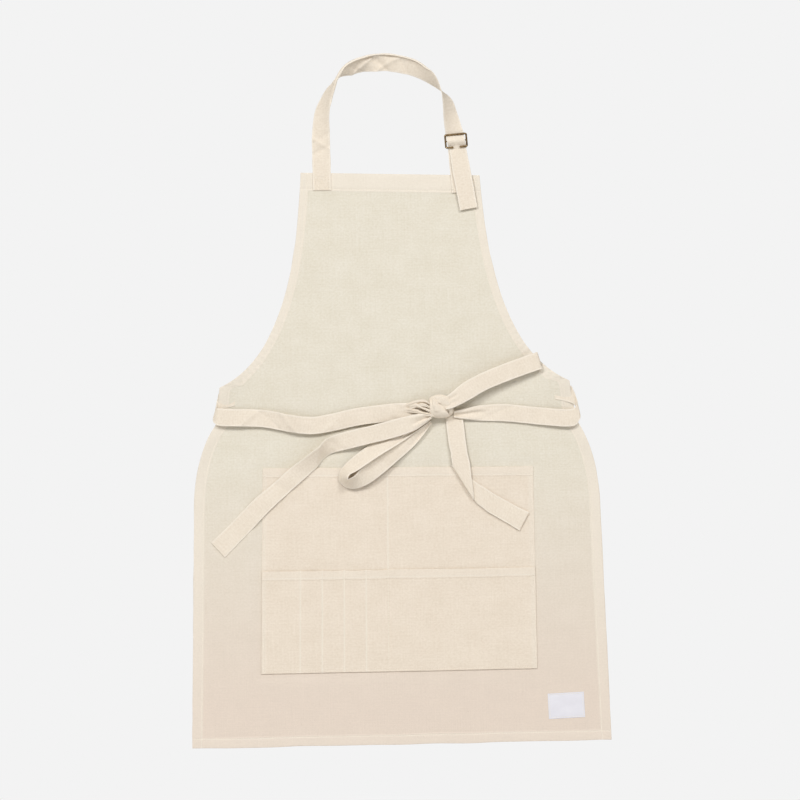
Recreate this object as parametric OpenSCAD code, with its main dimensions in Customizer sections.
// Bib apron for an artist: a one-piece cotton body with hemmed edges, two patch pockets, an adjustable
// neck strap on a wire slider, and waist ties brought round to the front and tied in a bow.
// Millimetres. X runs to the right as the apron is looked at, Z runs up to the neck, and the front
// faces -Y. The back of the cloth lies in the plane y = 0, and z = 0 is the bottom hem.

/* [Body] */
// Width along the bottom hem
skirt_w = 602; // [580:2:640]
// Width between the sides at the hip, where they start to turn in
hip_w = 583; // [576:1:600]
// Height of the hip above the bottom hem
hip_h = 340; // [320:2:350]
// Width between the two waist corners
waist_w = 502; // [498:1:506]
// Height of the waist corners above the bottom hem
waist_h = 517; // [514:1:520]
// Width along the top of the bib
bib_w = 257; // [250:1:270]
// Height of the bib's left top corner above the bottom hem
apron_h = 823; // [815:1:835]
// How much lower the bib's right top corner lies
bib_drop = 9; // [0:1:12]
// Thickness of one layer of cloth
cloth_t = 0.7; // [0.5:0.1:0.8]
// Thickness of a folded hem
hem_t = 1.8; // [1.7:0.1:2]

/* [Hems] */
// Height of the wide hem across the top of the bib
top_hem = 26; // [20:1:32]
// Width of the hems down the armholes
arm_hem = 12; // [8:1:16]
// Width of the hems down the skirt's sides
side_hem = 15.5; // [10:0.5:20]
// Height of the bottom hem
bottom_hem = 15; // [10:1:20]

/* [Pockets] */
// Width of both patch pockets
pocket_w = 393; // [380:1:400]
// Height of the pockets' bottom edge above the bottom hem
pocket_z = 105; // [90:1:115]
// Height of the upper pocket
pocket_h = 290; // [280:1:295]
// Height of the brush pocket in front of it
brush_h = 146; // [130:1:160]
// Height of the hems along the pockets' mouths
mouth_hem = 13; // [10:1:16]
// Where the seam that divides both pockets lies
divider_x = -15; // [-30:1:0]
// Distance between the seams of two brush slots
slot_pitch = 31.5; // [28:0.5:34]

/* [Tapes] */
// Width of the neck strap and the ties
tape_w = 25; // [24:0.5:26]
// Thickness of a tape, which is cloth folded double and stitched
tape_t = 1.1; // [0.8:0.1:1.1]

/* [Slider] */
// Width of the wire slider over its outside
slider_w = 33; // [32:0.5:35]
// Height of the wire slider over its outside
slider_h = 21; // [20:0.5:23]
// Radius of the slider's wire
wire_r = 1.35; // [1.2:0.05:1.35]
// Gap in the lower bar through which the strap is threaded
slider_gap = 9; // [7:0.5:11]
// How far the slider leans, its top to the left
slider_lean = 4; // [3:0.5:5]

/* [Bow] */
// Radius of the bow's knot
knot_r = 15.5; // [14:0.5:15.5]

/* [Hidden] */

cream = [0.91, 0.87, 0.79];
pocket_cream = [0.93, 0.88, 0.80];
tape_cream = [0.94, 0.90, 0.82];
thread_cream = [0.96, 0.93, 0.86];
label_white = [0.92, 0.91, 0.93];
old_brass = [0.48, 0.41, 0.32];

layer_gap = 0.1;                       // air between two layers of cloth
mouth_t = 1.6;                         // thickness of a pocket's folded mouth
thread_t = 0.3;                        // height of a row of stitches
thread_w = 0.6;                        // width of a row of stitches
thread_gap = 0.02;                     // air between a row of stitches and the cloth
stitch_in = 2;                         // how far a seam lies inside the edge it holds
curve_steps = 14;                      // straight pieces in one curved stretch of an outline
tape_steps = 4;                        // slices of tape from one station to the next
half_tape = tape_w / 2;
strap_half = half_tape - 0.5;          // half the width of the strap where it passes the slider
far = 500;                             // further out than any edge of the cloth

upper_d = cloth_t + layer_gap;         // depth of the upper pocket's back in front of y = 0
brush_d = upper_d + cloth_t + layer_gap;
sewn_d = hem_t + layer_gap;            // depth of the tapes sewn onto the bib's top hem
tab_t = 1.6;                           // two layers of tape cloth make the tab

strap_x = -98;                         // middle of the strap's sewn end
slider_pos = [95.5, 6.6, 864];         // middle of the slider: x, depth and z
bore_r = 1.25;                         // inside of the tab's loop, round the slider's bar
bar_r = 1.15;                          // radius of the holes for the bar in the side wires
bar_slack = 0.03;                      // room between the bar and its holes
bend_r = 1.8;                          // radius of the wire's corners
tab_x = slider_pos[0] + 3.2;           // middle of the tab's sewn end
tab_end = [790, 30];                   // lowest point and height of the tab's sewn end
loop_r = 2.25;                         // outside of the tab's loop
tab_reach = 46.5;                      // from the slider's bar down to the fold at the bib's edge
knot_pos = [66, 10.5, 483];            // middle of the knot: x, depth and z
knot_half = 8.8;                       // half of the knot's thickness

// A bezier curve in n steps, and a smooth curve through a list of stations of any length
function bezier(a, b, c, d, n) =
    [for (i = [0:n]) let (t = i / n, s = 1 - t) s^3*a + 3*s^2*t*b + 3*s*t^2*c + t^3*d];
function spline_at(a, b, c, d, t) =
    0.5 * (2*b + (c - a)*t + (2*a - 5*b + 4*c - d)*t^2 + (3*b - a - 3*c + d)*t^3);
function spline(p, n) = let (last = len(p) - 1)
    [for (i = [0:last - 1], k = [0:(i == last - 1 ? n : n - 1)])
        spline_at(p[max(i - 1, 0)], p[i], p[i + 1], p[min(i + 2, last)], k / n)];
function unit(v) = v / norm(v);
function reversed(p) = [for (i = [len(p) - 1:-1:0]) p[i]];
function mirrored(p) = [for (q = p) [-q[0], q[1]]];

// The path moved d to its left, which is inwards for the right-hand edge followed upwards
function inset(p, d) = let (last = len(p) - 1)
    [for (i = [0:last]) let (t = unit(p[min(i + 1, last)] - p[max(i - 1, 0)])) p[i] + d * [-t[1], t[0]]];

// Height of the bib's sloping top edge
function top_z(x) = apron_h - bib_drop * (x / bib_w + 0.5);

// The right-hand edge of the body: the skirt's side, then the armhole up to a top corner
tuck = [waist_w/2 + 6, waist_h - 53];  // the tie pulls the side in to here
side_edge = concat([[skirt_w/2, 0]],
    bezier([hip_w/2, hip_h], [hip_w/2 - 1.5, hip_h + 70], tuck + [11, -12], tuck, curve_steps),
    [[waist_w/2, waist_h]]);
function arm_edge(top) = bezier([waist_w/2, waist_h], [152, 560], [134, 720], [bib_w/2, top], curve_steps);
arm_right = arm_edge(top_z(bib_w/2));
arm_left = arm_edge(top_z(-bib_w/2));

// A flat sheet of cloth drawn on the front, with its back at depth d and thickness t
module sheet(d, t) translate([0, -d, 0]) rotate([90, 0, 0]) linear_extrude(t) children();

// The whole edge on one side; the corner is given once
function whole_edge(arm) = concat([for (p = side_edge) if (p[1] < waist_h) p], arm);
module body_outline() polygon(concat(whole_edge(arm_right), reversed(mirrored(whole_edge(arm_left)))));

// The strip of width w along the inside of a path
module strip(p, w) polygon(concat(p, reversed(inset(p, w))));
// Everything above a line d below the bib's sloping top edge
module above_top(d) polygon([[-far, top_z(-far) - d], [far, top_z(far) - d], [far, 2*far], [-far, 2*far]]);

corner_fold = 32;                      // reach of the folded cloth in each waist corner
tie_place = [waist_w/2 - 5, waist_h - 17.5]; // middle of the hollow for a tie's sewn end

// The folded cloth: hems all round, and the two corners that hold the ties
module hem_outline() intersection() {
    body_outline();
    union() {
        for (s = [0, 1]) mirror([s, 0]) {
            strip(side_edge, side_hem);
            strip(s == 0 ? arm_right : arm_left, arm_hem);
            translate([waist_w/2 - corner_fold, waist_h - corner_fold]) square(2 * corner_fold);
        }
        translate([-far, 0]) square([2*far, bottom_hem]);
        above_top(top_hem);
    }
}

module body_panel() color(cream) difference() {
    union() {
        sheet(0, cloth_t) body_outline();
        sheet(0, hem_t) hem_outline();
    }
    // the tie ends are let in flush with the back
    for (s = [-1, 1]) sheet(-1, 1 + tape_t + 0.3) translate([s * tie_place[0], tie_place[1]])
        square([38, tape_w + 8], center = true);
}

// A patch pocket with its folded mouth
module pocket(d, h) {
    sheet(d, cloth_t) translate([-pocket_w/2, pocket_z]) square([pocket_w, h]);
    sheet(d, mouth_t) translate([-pocket_w/2, pocket_z + h - mouth_hem]) square([pocket_w, mouth_hem]);
}
module upper_pocket() color(pocket_cream) pocket(upper_d, pocket_h);
module brush_pocket() color(pocket_cream) pocket(brush_d, brush_h);

label_size = [52, 36.5];
label_t = 0.4;
module at_label() translate([237, 51]) rotate(2) children();
module label() color(label_white) sheet(upper_d, label_t) at_label() square(label_size, center = true);

// A station of tape: its middle (x, z, depth), then the direction across it, turned a degrees from +X
// in the front plane and leaning b degrees forward, then half its width there
function st(x, z, d, a, b = 0, half = half_tape) = [x, z, d, cos(a)*cos(b), sin(a)*cos(b), sin(b), half];

// Four corners of the tape's section at the middle one of three stations
function section(before, here, after, t) =
    let (mid = [here[0], -here[2], here[1]],
         way = unit([after[0] - before[0], before[2] - after[2], after[1] - before[1]]),
         w = here[6] * unit([here[3], -here[5], here[4]]),
         n = t / 2 * unit(cross(way, w)))
    [mid - w - n, mid + w - n, mid + w + n, mid - w + n];

// A tape of thickness t through the stations, free to turn, twist and fold; both its faces are cut along
// the same diagonals, so that a twisted stretch keeps its thickness
module tape(stations, t = tape_t) {
    s = spline(stations, tape_steps);
    last = len(s) - 1;
    polyhedron(
        points = [for (i = [0:last]) each section(s[max(i - 1, 0)], s[i], s[min(i + 1, last)], t)],
        faces = concat([[0, 1, 2, 3]], [[4*last + 3, 4*last + 2, 4*last + 1, 4*last]],
            [for (i = [0:last - 1], j = [0:3]) each let (a = 4*i + j, b = 4*i + (j + 1) % 4)
                j == 2 ? [[a, a + 4, b], [a + 4, b + 4, b]] : [[a, a + 4, b + 4], [a, b + 4, b]]]));
}

// The neck strap rises flat, turns on edge at each shoulder and shows its inner face across the top
module neck_strap() color(tape_cream) tape([
    st(strap_x, top_z(strap_x) + 1, 2.6, -1), st(strap_x, 873, 4.5, 0, 6), st(-95.8, 906, 8, -7, 30),
    st(-89, 928, 10, -20, 50), st(-81, 946, 12.5, -32, 68), st(-73.5, 958, 13.5, 90, 89),
    st(-58, 970, 12, 122, 50), st(-36, 976.5, 9, 106, 26), st(-5, 979, 8, 92, 10), st(30, 972.5, 8, 74, 12),
    st(50, 964, 9.5, 60, 28), st(63, 952, 12, 46, 54), st(75, 937, 13.5, 90, 89), st(84, 922, 12.5, 200, 58),
    st(88, 903, 9, 190, 36), st(91.5, 885, 5.2, 186, 10), st(92.9, 877.6, 4.4, 184, 0, strap_half)]);

module strap_sewn_end() color(tape_cream) sheet(sewn_d, tape_t) difference() {
    translate([strap_x - half_tape, top_z(strap_x) - top_hem + 1]) square([tape_w, top_hem + 5]);
    above_top(0.2);
}

// The slider's own frame: x along its bars, z up, y = 0 in the plane of its wire
module at_slider()
    translate([slider_pos[0], -slider_pos[1], slider_pos[2]]) rotate([0, -slider_lean, 0]) children();
// A slider point (x, z, depth) as a station of tape across the slider
function slider_st(x, z, d) = let (c = cos(slider_lean), s = sin(slider_lean))
    st(slider_pos[0] + x*c - z*s, slider_pos[2] + x*s + z*c, slider_pos[1] + d, slider_lean, 0, strap_half);

bar_z = slider_h/2 - wire_r;           // middle of the top and bottom bars
side_x = slider_w/2 - wire_r;          // middle of the side wires
bar_half = side_x + wire_r/2;          // the bar's holes end this far from the slider's middle

module wire(length) rotate([0, 90, 0]) cylinder(h = length, r = wire_r, $fn = 40);
module bend() rotate([90, 0, 0])
    rotate_extrude(angle = 90, $fn = 64) translate([bend_r, 0]) circle(r = wire_r, $fn = 40);
// The middle bar, smaller all round by slack
module rod(slack) translate([slack - bar_half, 0, 0]) rotate([0, 90, 0])
    cylinder(h = 2 * (bar_half - slack), r = bar_r - slack, $fn = 40);

module slider_frame() color(old_brass) at_slider() difference() {
    union() {
        translate([bend_r - side_x, 0, bar_z]) wire(2 * (side_x - bend_r));
        for (s = [0, 1]) mirror([s, 0, 0]) {
            translate([side_x, 0, bar_z - bend_r]) rotate([0, 90, 0]) wire(2 * (bar_z - bend_r));
            translate([side_x - bend_r, 0, bar_z - bend_r]) bend();
            translate([side_x - bend_r, 0, bend_r - bar_z]) mirror([0, 0, 1]) bend();
            translate([slider_gap/2, 0, -bar_z]) wire(side_x - bend_r - slider_gap/2);
        }
    }
    rod(0);
}

module slider_bar() color(old_brass) at_slider() rod(bar_slack);

// The tab is a doubled tape whose loop holds the slider's bar; drawn from the side and extruded
tab_back = slider_pos[1] - sewn_d;     // how far the tab's back lies behind the slider's bar
module buckle_tab() color(tape_cream) at_slider() translate([-half_tape, 0, 0]) rotate([90, 0, 90])
    linear_extrude(tape_w) difference() {
        union() {
            circle(r = loop_r, $fn = 48);
            polygon([[tab_back - tab_t, -tab_reach], [tab_back, -tab_reach], [tab_back, -9],
                [loop_r - 0.2, -0.5], [0.6, -2.05], [tab_back - tab_t, -8]]);
        }
        circle(r = bore_r, $fn = 48);
    }

module tab_sewn_end() color(tape_cream) sheet(sewn_d, tab_t) difference() {
    translate([tab_x - half_tape, tab_end[0]]) square([tape_w, tab_end[1]]);
    above_top(0.2);
}

// The strap goes behind the top bar, over the loop on the middle bar and behind the lower bar
module strap_in_slider() color(tape_cream) tape([
    slider_st(-1.2, 12.6, -2.4), slider_st(-1, 8.8, -2.4), slider_st(-0.6, 4.6, 0.9), slider_st(0, 0, 3.3),
    slider_st(0.6, -4.6, 0.9), slider_st(1, -8.8, -2.25), slider_st(1.2, -11.4, -2.2)]);

module strap_tail() color(tape_cream) tape([
    st(98.2, 850.6, 4.6, 10, 0, strap_half), st(103, 824, 5.6, 10), st(109, 795, 5.2, 10),
    st(114.3, 766, 4.6, 10)]);

// Each tie leaves its corner at the back, turns round the side and crosses the front to the knot
module tie_left() color(tape_cream) tape([
    st(-229, 503, 0.75, 86), st(-254, 498, 0.75, 81), st(-257.4, 491.5, 1.9, 79), st(-258.5, 484, 4.8, 79),
    st(-257, 478, 7.6, 84), st(-248, 474.5, 8.5, 89), st(-190, 471.5, 6, 88), st(-150, 463.5, 8.5, 80, 8),
    st(-120, 460, 6.5, 84), st(-92, 463.5, 5, 97), st(-55, 471, 5.5, 98), st(-10, 476, 6.5, 92),
    st(20, 479, 7.5, 88, 0, 11), st(47, 482, 8, 88, 0, 9)]);

module tie_right() color(tape_cream) tape([
    st(229, 503, 0.75, 94), st(254, 498, 0.75, 98), st(260, 491, 1.9, 101), st(263, 482.5, 4.8, 101),
    st(262.5, 473, 7.5, 96), st(252, 463.5, 8, 93), st(206, 467, 6, 94), st(159, 472.5, 4.2, 93),
    st(120, 474, 3.4, 90, 0, 10.5), st(84.5, 474.5, 3.4, 90, 0, 6)]);

// The knot is wrapped round: a thick disc with a rounded rim
module bow_knot() color(tape_cream) translate([knot_pos[0], -knot_pos[1], knot_pos[2]]) rotate([90, 0, 0])
    rotate_extrude($fn = 72) intersection() {
        translate([knot_r - 7, 0]) circle(r = 7, $fn = 48);
        translate([0, -knot_half]) square([knot_r, 2 * knot_half]);
    }

// The left loop opens towards its tip, where it stands on edge
module bow_loop_left() color(tape_cream) tape([
    st(48, 468, 6, 305, 0, 7), st(9, 445, 7, 303, 16, 10), st(-30, 423, 12, 304, 42),
    st(-58, 404, 14.8, 308, 52), st(-73, 389, 15, 350, 56), st(-67, 375, 15, 50, 56),
    st(-35, 385, 14.4, 128, 50), st(-1, 415, 10.8, 127, 32), st(25, 439, 6.6, 126, 10, 10),
    st(47, 461, 6, 125, 0, 7)]);

// The right loop lies flat, folded over at its tip
module bow_loop_right() color(tape_cream) tape([
    st(83, 492.5, 15, 125, 0, 8), st(102, 504, 15.5, 123), st(126, 517, 14.5, 118), st(159, 530, 12.5, 112),
    st(188, 540, 11, 108), st(205, 545.5, 10, 106), st(209, 546.8, 8.2, 106), st(205, 545.5, 6.4, 106),
    st(188, 540, 5.6, 108), st(159, 530, 5.2, 112), st(126, 517, 6.4, 118), st(102, 504, 8.4, 123),
    st(84, 493, 9.6, 125, 0, 8)]);

module tie_tail_left() color(tape_cream) tape([
    st(47.5, 474.5, 14.5, 115, 0, 8), st(24, 461, 14.6, 110), st(-28, 447, 12.6, 104),
    st(-68, 438, 8.5, 103), st(-93, 431, 9, 112, 25), st(-107, 421, 10.5, 122, 42),
    st(-125, 405, 8.5, 130, 25), st(-145, 389, 5.4, 133, 4), st(-167, 370, 4.6, 134),
    st(-194, 347, 3.8, 134), st(-226, 315, 2.8, 134), st(-258, 284, 2.4, 134)]);

// The right tail folds over on a slanting crease and runs off to the side behind itself
module tie_tail_right() color(tape_cream) tape([
    st(85.5, 459, 4.8, 3), st(88.5, 430, 5.4, 3), st(91.5, 412, 6, -8), st(93.5, 396, 6.6, -42, 0, 18.8),
    st(95.6, 376, 6.8, -58, 0, 28), st(94.6, 373.6, 5.6, -59, 0, 29.5), st(95.6, 374.6, 4.4, -60, 0, 28.5),
    st(105, 366, 4.2, -66, 0, 25), st(119, 355, 4.2, -76, 0, 19.5), st(137, 342.5, 4.2, -96, 0, 15),
    st(158, 330, 4, -115, 0, 13), st(182, 316, 3.8, -120, 0, 12.6)]);

// Rows of stitches: along the right-hand edge followed d inside it, straight from a to b, and round a box
module edge_row(p, d) polygon(concat(inset(p, d - thread_w/2), reversed(inset(p, d + thread_w/2))));
module straight_row(a, b) polygon([for (q = [[a, 1], [b, 1], [b, -1], [a, -1]])
    q[0] + q[1] * thread_w/2 * [a[1] - b[1], b[0] - a[0]] / norm(b - a)]);
module box_row(w, h) difference() {
    square([w + thread_w, h + thread_w], center = true);
    square([w - thread_w, h - thread_w], center = true);
}
module stitches(d) color(thread_cream) sheet(d + thread_gap, thread_t) children();

row_gap = 2;                           // a row stops this far short of one that it would cross
row_z = bottom_hem - stitch_in;
// The side rows start above the bottom hem's row and end below the tie corners
side_row_edge = [for (p = side_edge) if (p[1] < waist_h - 30) [p[0], max(p[1], row_z + row_gap)]];

// The hem's seam stops at the two tapes sewn over it
module bib_hem_seam() stitches(hem_t) {
    row_h = top_hem - stitch_in - 1;
    clear = half_tape + 0.5;
    for (span = [[arm_hem + 1 - bib_w/2, strap_x - clear], [strap_x + clear, tab_x - clear],
                 [tab_x + clear, bib_w/2 - arm_hem - 1]])
        if (span[1] - span[0] > 1)
            straight_row([span[0], top_z(span[0]) - row_h], [span[1], top_z(span[1]) - row_h]);
}
module armhole_seams() stitches(hem_t) {
    edge_row(arm_right, arm_hem - stitch_in);
    mirror([1, 0]) edge_row(arm_left, arm_hem - stitch_in);
}
module side_seams() stitches(hem_t)
    for (s = [0, 1]) mirror([s, 0]) edge_row(side_row_edge, side_hem - stitch_in);
module bottom_seam() stitches(hem_t) straight_row([4 - skirt_w/2, row_z], [skirt_w/2 - 4, row_z]);

edge_in = stitch_in + 1;               // how far inside a pocket's outline it is sewn down
edge_x = pocket_w/2 - edge_in;
foot_z = pocket_z + edge_in;
upper_top = pocket_z + pocket_h;
brush_top = pocket_z + brush_h;

// The seam of a mouth's hem, level across a pocket at depth d from x = a to x = b
module mouth_row(d, top, a, b) stitches(d + mouth_t)
    straight_row([a, top - mouth_hem + stitch_in], [b, top - mouth_hem + stitch_in]);
module upper_pocket_hem_seam() {
    mouth_row(upper_d, upper_top, row_gap - edge_x, divider_x - row_gap);
    mouth_row(upper_d, upper_top, divider_x + row_gap, edge_x - row_gap);
}
module brush_pocket_hem_seam() mouth_row(brush_d, brush_top, row_gap - edge_x, edge_x - row_gap);

// An upright row on the single cloth of a pocket at depth d, from low to just below its mouth's hem
module upright_row(x, d, low, top) stitches(d + cloth_t)
    straight_row([x, low], [x, top - mouth_hem - row_gap/2]);
// The same row carried on over the hem
module upright_row_to_mouth(x, d, low, top) {
    upright_row(x, d, low, top);
    stitches(d + mouth_t) straight_row([x, top - mouth_hem + row_gap/2], [x, top - 1]);
}

// The pockets are sewn down along both sides and the bottom
module pocket_edge_seam() {
    for (s = [-1, 1]) {
        upright_row_to_mouth(s * edge_x, upper_d, brush_top + row_gap, upper_top);
        upright_row_to_mouth(s * edge_x, brush_d, foot_z + row_gap, brush_top);
    }
    stitches(brush_d + cloth_t) straight_row([-edge_x, foot_z], [edge_x, foot_z]);
}

// The divider crosses the upper pocket, and goes on down the brush pocket
module divider_seams() {
    upright_row_to_mouth(divider_x, upper_d, brush_top + row_gap, upper_top);
    upright_row(divider_x, brush_d, foot_z + row_gap, brush_top);
}
slot_count = 4;
module brush_slot_seams()
    for (i = [1:slot_count]) upright_row(divider_x - i*slot_pitch, brush_d, foot_z + row_gap, brush_top);

// Box stitching round the label and on the sewn ends of the tapes
tape_box = tape_w - 2*stitch_in - 1;
module label_seam() stitches(upper_d + label_t) at_label()
    box_row(label_size[0] - 2*stitch_in, label_size[1] - 2*stitch_in);
module strap_seam() stitches(sewn_d + tape_t) translate([strap_x, top_z(strap_x) - top_hem/2 + 0.5])
    box_row(tape_box, top_hem - 2*stitch_in - 3);
module tab_seam() stitches(sewn_d + tab_t) translate([tab_x, tab_end[0] + 12]) box_row(tape_box, 18);
module tie_seams() stitches(hem_t) for (s = [-1, 1])
    translate([s * (waist_w/2 - 15), waist_h - 18]) box_row(14, 17);

body_panel();
upper_pocket();
brush_pocket();
label();
neck_strap();
strap_sewn_end();
strap_in_slider();
strap_tail();
buckle_tab();
tab_sewn_end();
slider_frame();
slider_bar();
tie_left();
tie_right();
bow_knot();
bow_loop_left();
bow_loop_right();
tie_tail_left();
tie_tail_right();
bib_hem_seam();
armhole_seams();
side_seams();
bottom_seam();
upper_pocket_hem_seam();
brush_pocket_hem_seam();
pocket_edge_seam();
divider_seams();
brush_slot_seams();
label_seam();
strap_seam();
tab_seam();
tie_seams();
